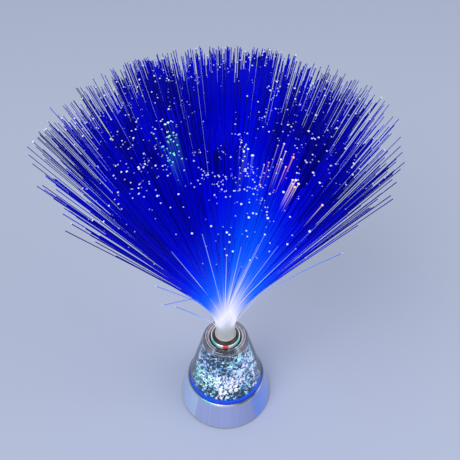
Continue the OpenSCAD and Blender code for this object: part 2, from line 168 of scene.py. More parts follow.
def material(recipe):
    """A material named after its recipe, a function that returns the surface's shader."""
    made = bpy.data.materials.new(recipe.__name__)
    made.use_nodes = True
    tree = made.node_tree
    tree.nodes.clear()
    add(tree, "OutputMaterial", {0: recipe(tree).outputs[0]})
    return made


def grain(tree, size, stretch=(1, 1, 1), detail=2.0):
    """Noise with grains of a size in mm, drawn out along each axis by stretch."""
    place = add(tree, "TexCoord")
    scaled = add(tree, "Mapping", {"Vector": place.outputs["Object"],
                                   "Scale": [1 / (size * MM * s) for s in stretch]})
    noise = add(tree, "TexNoise", {"Vector": scaled.outputs[0], "Scale": 1.0, "Detail": detail})
    return noise.outputs[0]


def moulded(tree, dark, light, roughness, texture=0.8, depth=0.02):
    """Injection moulded plastic: its colour clouds a little over some 9 mm where the melt flowed,
    and the mould's spark-eroded texture, in mm, gives it a fine relief."""
    cloud = add(tree, "ValToRGB", {0: grain(tree, 9)}, stops=[(0.3, dark), (0.7, light)])
    relief = add(tree, "Bump", {"Height": grain(tree, texture), "Strength": 0.5,
                                "Distance": depth * MM})
    return add(tree, "BsdfPrincipled", {"Base Color": cloud.outputs[0], "Roughness": roughness,
                                        "IOR": 1.5, "Normal": relief.outputs[0]})


def plated(tree, dark, light, roughness, streak):
    """Thinly plated metal: bright, with drawing marks streak mm apart that vary its tone."""
    marks = add(tree, "ValToRGB", {0: grain(tree, streak, (1, 1, 6))},
                stops=[(0.3, dark), (0.7, light)])
    return add(tree, "BsdfPrincipled", {"Base Color": marks.outputs[0], "Metallic": 1.0,
                                        "Roughness": roughness})


def studio_paper(tree):
    """Seamless backdrop paper: matt and even, with a faint tooth."""
    tooth = add(tree, "Bump", {"Height": grain(tree, 1.5), "Strength": 0.2,
                               "Distance": 0.05 * MM})
    return add(tree, "BsdfPrincipled", {"Base Color": linear(PAPER), "Roughness": 0.95,
                                        "Specular IOR Level": 0.05, "Normal": tooth.outputs[0]})


def round_the_lamp(tree):
    """The bearing round the lamp's axis as a share: 0 at the back, 0.25 at the left, 0.5 at the
    front and 0.75 at the right."""
    place = add(tree, "TexCoord")
    turned = add(tree, "Mapping", {"Vector": place.outputs["Object"],
                                   "Rotation": (0, 0, np.pi / 2)})
    along = add(tree, "SeparateXYZ", {0: turned.outputs[0]})
    angle = add(tree, "Math", {0: along.outputs["Y"], 1: along.outputs["X"]}, operation="ARCTAN2")
    share = add(tree, "Math", {0: angle.outputs[0], 1: 1 / (2 * np.pi), 2: 0.5},
                operation="MULTIPLY_ADD")
    return share.outputs[0]


def height_share(tree, low, high):
    """The height as a share of the way from low to high, in mm."""
    place = add(tree, "TexCoord")
    along = add(tree, "SeparateXYZ", {0: place.outputs["Object"]})
    share = add(tree, "Math", {0: along.outputs["Z"], 1: 1 / ((high - low) * MM),
                               2: low / (low - high)}, operation="MULTIPLY_ADD", use_clamp=True)
    return share.outputs[0]


def silver_lacquer(tree):
    """Silver lacquer over ABS, polished to a satin coat, with hair-fine upright lines left by the
    mould some 1.6 mm apart. Painted reflections lie over it in four broad bands round the lamp, cooler
    at the sides and with sharp edges between. Below about 2 mm the rim is grey beige."""
    bearing = round_the_lamp(tree)
    hairs = 2 * np.pi * SKIRT_R / 1.6
    # Painted reflections: colour bands by bearing, bluer and lighter at the sides, greyer at the
    # front.
    painted_reflection_bands = add(tree, "ValToRGB", {0: bearing},
                 stops=[(0.115, "#b2bee8"), (0.125, "#a4c2fd"), (0.375, "#c6deff"), (0.383, "#b4c2f0"),
                        (0.5, "#b2bfec"), (0.612, "#9ba9dc"), (0.62, "#7aa2fc"), (0.875, "#a4c2fd"),
                        (0.885, "#b2bee8")])
    lines = add(tree, "TexNoise", {"W": bearing, "Scale": hairs, "Detail": 2.0},
                noise_dimensions="1D")
    hair = add(tree, "ValToRGB", {0: lines.outputs[0]},
               stops=[(0.3, "#f0f0f1"), (0.64, "#f5f5f5"), (0.72, "#ffffff")])
    lined = add(tree, "Mix", {0: 1.0, 6: painted_reflection_bands.outputs[0], 7: hair.outputs[0]}, data_type="RGBA",
                blend_type="MULTIPLY")
    rim = add(tree, "ValToRGB", {0: height_share(tree, *SKIRT_RIM_Z)},
              stops=[(0.17, "#ffffff"), (0.2, "#000000")])
    coat = add(tree, "Mix", {0: rim.outputs[0], 6: lined.outputs[2], 7: linear("#a8a29a")},
               data_type="RGBA")
    return add(tree, "BsdfPrincipled", {"Base Color": coat.outputs[2], "Metallic": 0.45,
                                        "Roughness": 0.28, "Coat Weight": 0.5,
                                        "Coat Roughness": 0.08})


def textured_abs(tree):
    """Pale grey ABS with a spark-eroded texture, as on an underside that nobody sees."""
    return moulded(tree, "#c9ccd2", "#d8dade", 0.5)


def black_abs(tree):
    """Black ABS of the switch, half matt and worn smooth by the finger."""
    return moulded(tree, "#121214", "#1c1c1f", 0.45, 0.5)


def foot_rubber(tree):
    """Moulded rubber, matt, with a dusty bloom in its tone."""
    return moulded(tree, "#2c2c2e", "#3d3d40", 0.85, 0.6, 0.03)


def dark_nylon(tree):
    """Dark brown nylon of the bush: half gloss, as it slides."""
    return moulded(tree, "#2a2023", "#392d2f", 0.32, 1.2, 0.01)


def cream_nylon(tree):
    """Cream nylon sleeve, slightly waxy."""
    return moulded(tree, "#e2dac2", "#f1ead6", 0.4, 1.2, 0.01)


def zinc_steel(tree):
    """Zinc plated steel of screws and pins, with a faint yellow passivation."""
    return plated(tree, "#a9a79f", "#c9c8c2", 0.35, 0.5)


def nickel_steel(tree):
    """Nickel plated spring steel of the battery contacts."""
    return plated(tree, "#b9b5a8", "#d6d2c6", 0.25, 0.4)


def cell_jacket(tree):
    """Shrunk plastic jacket over a steel can: slate, with a pale band 4.5 mm wide near each end
    and bare steel at the ends."""
    place = add(tree, "TexCoord")
    along = add(tree, "SeparateXYZ", {0: place.outputs["Object"]})
    off = add(tree, "Math", {0: along.outputs["X"]}, operation="ABSOLUTE")
    share = add(tree, "Math", {0: off.outputs[0], 1: CELL_REACH * MM}, operation="DIVIDE")
    bands = add(tree, "ValToRGB", {0: share.outputs[0]},
                stops=[(0.0, "#2b3646"), (0.6, "#2b3646"), (0.62, "#8fa3b8"), (0.8, "#8fa3b8"),
                       (0.82, "#2b3646"), (0.9, "#b9bcc0")])
    creases = add(tree, "Bump", {"Height": grain(tree, 3, (5, 1, 1)), "Strength": 0.2,
                                 "Distance": 0.05 * MM})
    return add(tree, "BsdfPrincipled", {"Base Color": bands.outputs[0], "Roughness": 0.25,
                                        "Metallic": 0.3, "Normal": creases.outputs[0]})


def board_laminate(tree):
    """Glass fibre laminate under green solder mask. Gilt tracks ring the board at the lights'
    radii of 5 and 20 mm, and the glass weave shows at 1.2 mm."""
    place = add(tree, "TexCoord")
    flat = add(tree, "VectorMath", {0: place.outputs["Object"], 1: (1, 1, 0)}, operation="MULTIPLY")
    reach = add(tree, "VectorMath", {0: flat.outputs[0]}, operation="LENGTH")
    share = add(tree, "Math", {0: reach.outputs["Value"], 1: BOARD_R * MM}, operation="DIVIDE")
    mask = [(0.16, "#0d4a2b"), (0.17, "#b59a4e"), (0.2, "#b59a4e"), (0.21, "#0d4a2b"),
            (0.71, "#0d4a2b"), (0.72, "#b59a4e"), (0.75, "#b59a4e"), (0.76, "#0f5230")]
    tracks = add(tree, "ValToRGB", {0: share.outputs[0]}, stops=mask)
    weave = add(tree, "TexChecker", {"Vector": place.outputs["Object"], "Scale": 1 / (1.2 * MM)})
    cloth = add(tree, "Bump", {"Height": weave.outputs[1], "Strength": 0.3, "Distance": 0.02 * MM})
    return add(tree, "BsdfPrincipled", {"Base Color": tracks.outputs[0], "Roughness": 0.3,
                                        "Normal": cloth.outputs[0]})


def led_epoxy(tree):
    """Clear epoxy dome over a lit blue die: bright blue at heart with paler clouds."""
    clouds = add(tree, "ValToRGB", {0: grain(tree, 2.5)},
                 stops=[(0.3, "#6f9dff"), (0.7, "#e6f0ff")])
    return add(tree, "BsdfPrincipled", {"Base Color": linear("#dbe6f5"), "Roughness": 0.08,
                                        "IOR": 1.5, "Emission Color": clouds.outputs[0],
                                        "Emission Strength": 0.6})


def chip_resin(tree):
    """Black epoxy blob over the controller: smooth, with a slow sag in its surface."""
    return moulded(tree, "#08080a", "#141417", 0.2, 2.5, 0.1)


def resistor_coat(tree):
    """Lacquer on carbon film resistors: tan, with turned rings 0.9 mm apart in brown and gilt."""
    place = add(tree, "TexCoord")
    along = add(tree, "SeparateXYZ", {0: place.outputs["Object"]})
    turns = add(tree, "Math", {0: along.outputs["Y"], 1: 2 * np.pi / (0.9 * MM)},
                operation="MULTIPLY")
    wave = add(tree, "Math", {0: turns.outputs[0]}, operation="SINE")
    rings = add(tree, "ValToRGB", {0: wave.outputs[0]},
                stops=[(0.0, "#c3a878"), (0.7, "#c3a878"), (0.75, "#5a3420"), (0.95, "#b08a3c")])
    return add(tree, "BsdfPrincipled", {"Base Color": rings.outputs[0], "Roughness": 0.4})


def capacitor_sleeve(tree):
    """Shrunk sleeve of the capacitor: dark blue, clouded where it shrank."""
    return moulded(tree, "#0d1430", "#1a2450", 0.3, 1.5)


def red_pvc(tree):
    """Red PVC insulation, extruded smooth, with a slow ripple."""
    return moulded(tree, "#a01812", "#be241c", 0.35, 2.0)


def black_pvc(tree):
    """Black PVC insulation, extruded smooth, with a slow ripple."""
    return moulded(tree, "#0c0c0e", "#1b1b1e", 0.35, 2.0)


def milky_acrylic(tree):
    """Opal acrylic floor of the chamber, lit blue from the board below in soft pools."""
    pools = add(tree, "ValToRGB", {0: grain(tree, 14)}, stops=[(0.3, "#030a24"), (0.7, "#0a2468")])
    return add(tree, "BsdfPrincipled", {"Base Color": linear("#0c1a40"), "Roughness": 0.4,
                                        "Emission Color": pools.outputs[0],
                                        "Emission Strength": 0.6})


def lit_blue_acrylic(tree):
    """Blue translucent acrylic, lit from below. The turning marks of its mould, 1.1 mm apart, catch
    the light as thin paler rings."""
    place = add(tree, "TexCoord")
    flat = add(tree, "VectorMath", {0: place.outputs["Object"], 1: (1, 1, 0)}, operation="MULTIPLY")
    reach = add(tree, "VectorMath", {0: flat.outputs[0]}, operation="LENGTH")
    turns = add(tree, "Math", {0: reach.outputs["Value"], 1: 2 * np.pi / (1.1 * MM)},
                operation="MULTIPLY")
    wave = add(tree, "Math", {0: turns.outputs[0]}, operation="SINE")
    rings = add(tree, "ValToRGB", {0: wave.outputs[0]}, stops=[(0.2, "#003cac"), (0.95, "#1470dc")])
    return add(tree, "BsdfPrincipled", {"Base Color": linear("#00124a"), "Roughness": 0.2,
                                        "Specular IOR Level": 0.05,
                                        "Emission Color": rings.outputs[0],
                                        "Emission Strength": 0.7})


def gilt_chrome_painted_reflections(tree):
    """Gilt flash over chrome, pale gold. Along the bead its colour turns teal and white, and darker in
    places: painted reflections, with a faint painted glow of the same colours.
    """
    # Painted reflections: the bead's colour by bearing round the lamp.
    tone = add(tree, "ValToRGB", {0: round_the_lamp(tree)}, stops=[
        (0.05, "#b9ab8c"), (0.18, "#d9d4c4"), (0.3, "#a89e84"), (0.38, "#a9c9b4"),
        (0.43, "#7fd6cc"), (0.47, "#f8f6f2"), (0.53, "#e8dcc8"), (0.56, "#8f8266"),
        (0.63, "#6f6a5c"), (0.67, "#d8d6ce"), (0.75, "#a39a80"), (0.9, "#9fcfc8")])
    # The emission is a faint painted glow in the same colours.
    return add(tree, "BsdfPrincipled", {"Base Color": tone.outputs[0], "Metallic": 1.0,
                                        "Roughness": 0.18, "Emission Color": tone.outputs[0],
                                        "Emission Strength": 0.12})


def bright_chrome(tree):
    """Bright chrome on plastic: smooth, waved by the moulding, and lit teal, white and rose in
    turns by the lights that stand round below it. The tube under its rim stays in the dark."""
    tone = add(tree, "ValToRGB", {0: round_the_lamp(tree)}, stops=[
        (0.05, "#8fd8d0"), (0.15, "#f4e4e2"), (0.27, "#efe6ea"), (0.34, "#5ed9c6"),
        (0.39, "#8fe8d8"), (0.43, "#ffffff"), (0.46, "#fff4f2"), (0.48, "#f0756a"),
        (0.52, "#e8685f"), (0.545, "#ffffff"), (0.6, "#c9d2d2"), (0.66, "#6fe6d2"),
        (0.75, "#f2f6f6"), (0.9, "#e9c4c0")])
    lit = height_share(tree, *CHROME_LIT_Z)
    coat = add(tree, "Mix", {0: lit, 6: linear("#30384a"), 7: tone.outputs[0]}, data_type="RGBA")
    glow = add(tree, "Mix", {0: lit, 6: linear("#000000"), 7: tone.outputs[0]}, data_type="RGBA")
    waves = add(tree, "Bump", {"Height": grain(tree, 5, detail=1.0), "Strength": 0.2,
                               "Distance": 0.2 * MM})
    return add(tree, "BsdfPrincipled", {"Base Color": coat.outputs[2], "Metallic": 1.0,
                                        "Roughness": 0.24, "Normal": waves.outputs[0],
                                        "Emission Color": glow.outputs[2],
                                        "Emission Strength": 0.4})


def cast_acrylic(tree):
    """Clear acrylic, polished: it bends what is behind it and turns bottle green where the sight
    runs along the wall. The lip on the shoulder carries pale and dark rings, painted highlights and
    painted shadows, on its inner edge all round and at the sides, mostly left out at the front.
    Where they lie the acrylic is also rougher and less clear. The thick foot pipes up the blue of
    the ring below it."""
    ray = add(tree, "LightPath")
    edge = add(tree, "LayerWeight", {"Blend": 0.5})
    wall = add(tree, "ValToRGB", {0: edge.outputs["Facing"]},
               stops=[(0.66, "#f8fbff"), (0.74, "#2c4a44"), (0.84, "#040b09")])
    up = height_share(tree, *CONE_FOOT_Z)
    foot = add(tree, "ValToRGB", {0: up},
               stops=[(0.2, "#1f66d8"), (0.25, "#ffffff"), (0.98, "#ffffff")])
    tint = add(tree, "Mix", {0: 1.0, 6: wall.outputs[0], 7: foot.outputs[0]}, data_type="RGBA",
               blend_type="MULTIPLY")
    piped = add(tree, "ValToRGB", {0: up},
                stops=[(0.08, "#0044b0"), (0.2, "#0034a0"), (0.25, "#000000")])
    place = add(tree, "TexCoord")
    flat = add(tree, "VectorMath", {0: place.outputs["Object"], 1: (1, 1, 0)}, operation="MULTIPLY")
    reach = add(tree, "VectorMath", {0: flat.outputs[0]}, operation="LENGTH")
    across = add(tree, "Math", {0: reach.outputs["Value"], 1: 1 / (LIP_RINGS_W * MM),
                                2: -LIP_RINGS_R / LIP_RINGS_W}, operation="MULTIPLY_ADD")
    # Painted highlights (pale) and painted shadows (dark): rings by distance from the axis across the
    # lip.
    rings = add(tree, "ValToRGB", {0: across.outputs[0]}, stops=[
        (0.14, "#f6ece2"), (0.19, "#efe0d6"), (0.22, "#564b54"), (0.3, "#c2b3b8"),
        (0.37, "#fbf3f2"), (0.42, "#7d6f78"), (0.5, "#a3959c"), (0.55, "#f1e6e6"),
        (0.6, "#3c3138"), (0.66, "#8b7d84")])
    # The painted rings show at the sides and are mostly left out at the front.
    sides = add(tree, "ValToRGB", {0: round_the_lamp(tree)}, stops=[
        (0.37, "#ffffff"), (0.43, "#5a5a5a"), (0.57, "#5a5a5a"), (0.63, "#ffffff")])
    lip = add(tree, "ValToRGB", {0: across.outputs[0]}, stops=[(0.2, "#ffffff"), (0.24, "#000000")])
    where = add(tree, "Math", {0: sides.outputs[0], 1: lip.outputs[0]}, operation="MAXIMUM")
    # turned is where the painted rings lie: the lip's inner edge and its sides, above CONE_LIP_Z.
    turned = add(tree, "Math", {0: where.outputs[0], 1: height_share(tree, *CONE_LIP_Z)},
                 operation="MULTIPLY")
    skin = add(tree, "Mix", {0: turned.outputs[0], 6: tint.outputs[2], 7: rings.outputs[0]},
               data_type="RGBA")
    clearness = add(tree, "MapRange", {0: turned.outputs[0], 3: 1.0, 4: 0.45})
    sanded = add(tree, "MapRange", {0: turned.outputs[0], 3: 0.02, 4: 0.22})
    ripple = add(tree, "Bump", {"Height": grain(tree, 7, detail=1.0), "Strength": 0.2,
                                "Distance": 0.15 * MM})
    glass = add(tree, "BsdfPrincipled", {"Base Color": skin.outputs[2],
                                         "Roughness": sanded.outputs[0], "IOR": 1.49,
                                         "Transmission Weight": clearness.outputs[0],
                                         "Normal": ripple.outputs[0],
                                         "Emission Color": piped.outputs[0],
                                         "Emission Strength": 0.6})
    clear = add(tree, "BsdfTransparent", {"Color": linear("#eef4ff")})
    return add(tree, "MixShader", {0: ray.outputs["Is Shadow Ray"], 1: glass.outputs[0],
                                   2: clear.outputs[0]})


def drawn_acrylic(tree):
    """Drawn acrylic strand. Light leaks from its side: grey white while packed, white where it
    bends out of the bundle, then lavender, azure and deep blue. share is how far the light has
    come, tone its strength, and shine the light that an end throws back in its own hue."""
    share = add(tree, "Attribute", attribute_name="share")
    tone = add(tree, "Attribute", attribute_name="tone")
    shine = add(tree, "Attribute", attribute_name="shine")
    hue = add(tree, "Attribute", attribute_name="hue")
    skin = add(tree, "ValToRGB", {0: share.outputs["Fac"]},
               stops=[(0.0, "#b4b8bc"), (0.03, "#989ca8"), (0.07, "#2c2e40"), (0.12, "#02031a")])
    glow = add(tree, "ValToRGB", {0: share.outputs["Fac"]},
               stops=[(0.0, "#6c7074"), (0.02, "#9a9dac"), (0.05, "#d6d8ee"), (0.09, "#f0f0ff"),
                      (0.15, "#ccd3ff"), (0.22, "#97abff"), (0.28, "#5480ff"), (0.35, "#1062ff"),
                      (0.46, "#0048ff"), (0.62, "#0020f8"), (0.8, "#0004ea"), (1.0, "#0002cc")])
    thrown = add(tree, "ValToRGB", {0: hue.outputs["Fac"]}, stops=LIGHT_HUES)
    glint = add(tree, "Mix", {0: shine.outputs["Fac"], 6: glow.outputs[0], 7: thrown.outputs[0]},
                data_type="RGBA")
    return add(tree, "BsdfPrincipled", {"Base Color": skin.outputs[0], "Roughness": 0.5,
                                        "Specular IOR Level": 0.04,
                                        "Emission Color": glint.outputs[2],
                                        "Emission Strength": tone.outputs["Fac"]})


def cut_strand_end(tree):
    """Cut and polished end of a strand, where its light comes out. hue picks the light's colour,
    from green through white and lavender to orange, and tone is its strength."""
    hue = add(tree, "Attribute", attribute_name="hue")
    tone = add(tree, "Attribute", attribute_name="tone")
    light = add(tree, "ValToRGB", {0: hue.outputs["Fac"]}, stops=LIGHT_HUES)
    return add(tree, "BsdfPrincipled", {"Base Color": linear("#1c2cb0"), "Roughness": 0.3,
                                        "Emission Color": light.outputs[0],
                                        "Emission Strength": tone.outputs["Fac"]})


def broken_acrylic(tree):
    """Broken clear acrylic: each face of a chip shows another part of the light that goes round in
    the heap, from navy shadow through ice blue to white. facet is that light's strength, and hue
    its colour: teal, white, rose, blue or lavender."""
    facet = add(tree, "Attribute", attribute_name="facet")
    hue = add(tree, "Attribute", attribute_name="hue")
    light = add(tree, "ValToRGB", {0: facet.outputs["Fac"]},
                stops=[(0.0, "#000106"), (0.24, "#03142e"), (0.42, "#2f78a4"), (0.6, "#98cce0"),
                       (0.78, "#f2faff"), (1.0, "#ffffff")])
    tint = add(tree, "ValToRGB", {0: hue.outputs["Fac"]},
               stops=[(0.0, "#8ff0d4"), (0.2, "#e6fff8"), (0.4, "#fff8fa"), (0.52, "#ffdce6"),
                      (0.7, "#bfe6ff"), (1.0, "#a8c0e8")])
    lit = add(tree, "Mix", {0: 1.0, 6: light.outputs[0], 7: tint.outputs[0]}, data_type="RGBA",
              blend_type="MULTIPLY")
    return add(tree, "BsdfPrincipled", {"Base Color": lit.outputs[2], "Roughness": 0.08,
                                        "Specular IOR Level": 0.25,
                                        "Emission Color": lit.outputs[2],
                                        "Emission Strength": 0.45})


# Mesh helpers -----------------------------------------------------------------------------


def make_piece(name, points, faces, body, attributes=None, smooth=True):
    """Puts points in mm and faces into a mesh that rides on a body. attributes maps a name to
    one value for each point, or for each face."""
    mesh = bpy.data.meshes.new(name)
    mesh.from_pydata((points * MM).tolist(), [], faces)
    for key, values in (attributes or {}).items():
        domain = "POINT" if len(values) == len(mesh.vertices) else "FACE"
        attribute = mesh.attributes.new(key, "FLOAT", domain)
        attribute.data.foreach_set("value", np.asarray(values, np.float32))
    if smooth:
        mesh.shade_smooth()
    made = add_object(name, mesh)
    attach(made, body)
    return made


def unit(vectors):
    """The same directions with a length of 1."""
    return vectors / np.linalg.norm(vectors, axis=-1, keepdims=True)


def tubes(paths, side, radius, sides):
    """Closed tubes along many paths at once. paths is tubes x knots x 3, side a direction for each
    tube that its path never takes, and radius one value for each knot, or a row of them for each
    tube. Each knot gets a ring of points about the path: radius * (cos a * u + sin a * v), with
    u = side x ahead and v = ahead x u."""
    count, knots = paths.shape[:2]
    ahead = unit(np.gradient(paths, axis=1))
    u = unit(np.cross(side[:, None, :], ahead))
    v = np.cross(ahead, u)
    turn = 2 * np.pi * np.arange(sides) / sides
    circle = np.cos(turn)[:, None] * u[:, :, None] + np.sin(turn)[:, None] * v[:, :, None]
    rings = paths[:, :, None] + radius[..., None, None] * circle
    ring = np.arange(sides)
    start = (np.arange(count)[:, None, None] * knots + np.arange(knots - 1)[:, None]) * sides
    near, far = start + ring, start + np.roll(ring, -1)
    walls = np.stack([near, far, far + sides, near + sides], -1).reshape(-1, 4)
    first = np.arange(count)[:, None] * knots * sides
    caps = np.concatenate([first + ring[::-1], first + (knots - 1) * sides + ring])
    return rings.reshape(-1, 3), walls.tolist() + caps.tolist()


def spindles(sides, count):
    """Faces of many lumps that each have a top pole, a ring of sides points and a bottom pole."""
    k = np.arange(sides)
    n = (k + 1) % sides
    top = np.stack([0 * k, k + 1, n + 1], -1)
    low = np.stack([0 * k + sides + 1, n + 1, k + 1], -1)
    starts = (sides + 2) * np.arange(count)[:, None, None]
    return (np.concatenate([top, low]) + starts).reshape(-1, 3)


def through(points, steps):
    """A smooth path through given points: steps samples of the Catmull-Rom curve between
    each two, b + t (c - a) / 2 + t^2 (a - 2.5 b + 2 c - d / 2) + t^3 (1.5 (b - c) + (d - a) / 2)."""
    p = np.concatenate([[2 * points[0] - points[1]], points, [2 * points[-1] - points[-2]]])
    t = (np.arange(steps) / steps)[None, :, None]
    a, b, c, d = p[:-3, None], p[1:-2, None], p[2:-1, None], p[3:, None]
    curve = b + t * (c - a) / 2 + t**2 * (a - 2.5 * b + 2 * c - d / 2)
    curve += t**3 * (1.5 * (b - c) + (d - a) / 2)
    return np.concatenate([curve.reshape(-1, 3), points[-1:]])


# Spray ------------------------------------------------------------------------------------

STRANDS = 3000
FAN_PIECES = 2
STRAND_R = 0.3
PACKED_R = 0.14  # inside the bundle: no real strand thins like this, but so many fit only so
SIDES = 4
REACH = 242
INNER_TILT, FAN_TILT, STRAY_TILT = 4, 18, 7
LEAN = (0.07, 0.1)  # shares: less tilt to the right, and less to the front and more to the back
GOLDEN_ANGLE = 137.508
SPREAD = 22
DROOP = 14
AIM_SHAKE = 0.7  # degrees
LENGTH_SHAKE = 0.07  # share by which the shortest strands are short
TWIST, TWIST_RUN = 60, 20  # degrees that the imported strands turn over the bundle's last mm
TUFTS = 150
TUFT_PULL = (0.05, 0.42)
PULL_SHAKE = 0.1
SHARES = np.array([0, 0.03, 0.07, 0.12, 0.19, 0.3, 0.45, 0.68, 0.87, 1])
bundle_low, bundle_high = box("fibre_bundle")
BUNDLE_R = bundle_high[0]
MOUTH_Z = bundle_high[2] + 2
PACKED_Z = np.array([bundle_low[2], 84, 92, 98, 104, MOUTH_Z - 0.5])
BUNDLE_ROOM = 0.1  # between the outermost strands and the bundle's skin

# Strength of the light. A strand's light fades by FADE along it, more by SIDE_FADE the further it
# leans from BRIGHT_LEAN and less by FRONT_FADE the further it leans to the front. Faded light takes
# on the strand's own shade, as SHADE_RATE * light - SHADE_LAG rises from 0 to 1.
FADE, SIDE_FADE, FRONT_FADE, BRIGHT_LEAN = 0.92, 2.4, 1.1, 0.09
TUFT_SHADE, STRAND_SHADE, LEAST_SHADE = (0.24, 0.99), 0.25, 0.12
SHADE_RATE, SHADE_LAG = 2.2, 0.85
PACKED_TONE = (0.7, 1)

# Light at the ends, as (least, how much more at most). LIT_ENDS is the share of a tuft's strands
# whose end shines at the eye, and thrown light starts at THROWN_FROM along a strand.
LIT_ENDS = (0.08, 0.62)
LIT_GLOW, SOFT_GLOW, HOT_GLOW = (0.2, 0.9), (0.35, 0.5), (0.5, 0.9)
PLAIN_HUES = (0.25, 0.4)
HUE_SHAKE = 0.04
WARM_HUE, WARM_THROWN, COOL_THROWN = 0.6, 0.8, 0.12
THROWN_FROM = 0.87

# Beads of light on the ends: width and swelling against a strand's, and length against their own
BEAD_W, BEAD_SWELL, BEAD_L = 1.25, 1.3, 0.9
BEAD_SIDES = 6
OFF_AXIS = np.array([0.3, 0.9, 0.1])  # a direction that no strand takes

STRAY_R = 0.36
STRAY_STEPS = 5
STRAY_SHARES = (0.08, 0.34)
STRAY_HUE, STRAY_GLOW = 0.5, 1.0
# Strands that left the fan, as (bearing in degrees, [(distance from the axis, height), ...])
STRAYS = [
    (180, [(8, 105), (8.5, 118), (9, 138), (16, 148), (31, 145), (55, 137)]),
    (176, [(8, 105), (9, 121), (17, 134), (25, 140), (60, 158)]),
    (187, [(8, 105), (11, 113), (21, 122), (28, 129), (44, 142)]),
    (2, [(8, 105), (12, 130), (21, 153), (42, 172), (66, 196)]),
    (-4, [(8, 105), (14, 145), (28, 177), (43, 198), (71, 212)]),
    (6, [(8, 105), (11, 115), (31, 146), (65, 173), (98, 193)]),
    (60, [(8, 105), (12, 130), (21, 150), (42, 168), (70, 186)]),
    (128, [(8, 105), (9, 121), (17, 136), (25, 143), (62, 160)]),
    (95, [(8, 105), (11, 118), (31, 150), (65, 178), (92, 196)]),
]

# Ends that shine in colour, as (bearing, tilt from upright, hue, spread in degrees)
HOT_ENDS = [(-59, 20, 0.82, 1.1), (-62, 20.5, 0.98, 0.7), (-52, 15.5, 0.88, 1.2),
            (-50, 13.5, 0.82, 1), (-56, 14, 0.94, 0.8), (-54, 24.5, 0.86, 1),
            (-73, 12, 0.22, 1.1), (-70, 14, 0.16, 0.9), (-67, 14.5, 0.66, 0.9),
            (-126, 13, 0.0, 1.2), (-132, 11.5, 0.04, 1), (-117, 15, 0.06, 1),
            (-146, 10.5, 0.12, 1.2), (-138, 12.5, 0.08, 1.1)]

# Ends that glow softly in a plain hue, near the middle of the front, as (bearing, tilt)
SOFT_ENDS = [(-86, 18), (-78, 16.5), (-99, 15.5), (-92, 17), (-82, 18), (-105, 17), (-74, 18.5)]
SOFT_SPREAD = 1.3

# Thin strands in front that stay white to their end, as (bearing, tilt from upright)
LINE_FADE = 0.27
LINE_R = 0.2
WHITE_LINES = [(-95, 25), (-85, 26.5), (-79, 26.5), (-77, 26.5), (-74, 27), (-89, 28.5),
               (-68, 29), (-81, 28), (-104, 27)]


def sunflower(count):
    """Evenly spread places on a disc of radius 1, as complex numbers: sqrt(n) out, each turned by
    the golden angle from the last."""
    n = np.arange(count)
    return np.sqrt((n + 0.5) / count) * np.exp(1j * np.radians(n * GOLDEN_ANGLE))


def strand_aims():
    """Where each strand goes: its place on the fan's disc, as a radius from 0 to 1 and a bearing.
    The sunflower rule spreads them, then each is drawn towards the nearest of TUFTS centres, laid
    out by the same rule, because real strands cling together. Returns the radius and bearing
    before and after that, and the tuft's number."""
    places, centres = sunflower(STRANDS), sunflower(TUFTS)
    tuft = np.abs(places[:, None] - centres).argmin(1)
    pull = rng.uniform(*TUFT_PULL, TUFTS)[tuft] + rng.uniform(-PULL_SHAKE, PULL_SHAKE, STRANDS)
    drawn = places + pull * (centres[tuft] - places)
    return np.abs(places), np.angle(places), np.abs(drawn), np.angle(drawn), tuft


def strand_paths():
    """Paths of the fan's strands, the side each turns about, how bright each is and its tuft. A
    strand rises inside the bundle, which twists. Then its tilt from upright grows as
    launch * (1 - exp(-run / SPREAD)), and gravity adds DROOP * sin(launch) * (1 - (1 - share)^3).
    Its bearing sways by 4.5 sin(7 a + 20) + 1.8 sin(13 a) degrees, so that the fan's edge isn't a
    plain circle."""
    root, root_angle, u, angle, tuft = strand_aims()
    wander = rng.uniform(-1, 1, (3, STRANDS))
    tilts = INNER_TILT + FAN_TILT * u + STRAY_TILT * root**10
    leaned = 1 - LEAN[0] * np.maximum(np.cos(angle), 0) + LEAN[1] * np.sin(angle)
    launch = np.radians(tilts * leaned + AIM_SHAKE * wander[0])[:, None]
    sway = 4.5 * np.sin(7 * angle + np.radians(20)) + 1.8 * np.sin(13 * angle) + wander[1]
    bearing = angle + np.radians(sway)
    reach = (REACH * (1 - LENGTH_SHAKE * wander[2] ** 2))[:, None]
    middle = (SHARES[1:] + SHARES[:-1]) / 2
    tilt = launch * (1 - np.exp(-middle * reach / SPREAD))
    tilt += np.radians(DROOP) * np.sin(launch) * (1 - (1 - middle) ** 3)
    out = np.stack([np.cos(bearing), np.sin(bearing), 0 * bearing], -1)[:, None]
    steps = np.sin(tilt)[..., None] * out + np.cos(tilt)[..., None] * [0, 0, 1]
    turned = root_angle[:, None] + np.radians(TWIST) * ((MOUTH_Z - PACKED_Z) / TWIST_RUN) ** 1.5
    packed_r = (BUNDLE_R - STRAND_R - BUNDLE_ROOM) * root[:, None]
    packed = np.stack([packed_r * np.cos(turned), packed_r * np.sin(turned),
                       turned * 0 + PACKED_Z], -1)
    fanned = packed[:, -1:] + np.cumsum(steps * (np.diff(SHARES) * reach)[..., None], 1)
    side = np.stack([-np.sin(bearing), np.cos(bearing), 0 * bearing], -1)
    shade = rng.uniform(*TUFT_SHADE, TUFTS)[tuft] + STRAND_SHADE * rng.uniform(-1, 1, STRANDS)
    return np.concatenate([packed, fanned], 1), side, np.clip(shade, LEAST_SHADE, 1), tuft


def aim(bearing, tilt):
    """The direction at a bearing and a tilt from upright, in degrees."""
    turn, lean = np.radians(bearing), np.radians(tilt)
    return np.stack([np.sin(lean) * np.cos(turn), np.sin(lean) * np.sin(turn), np.cos(lean)], -1)


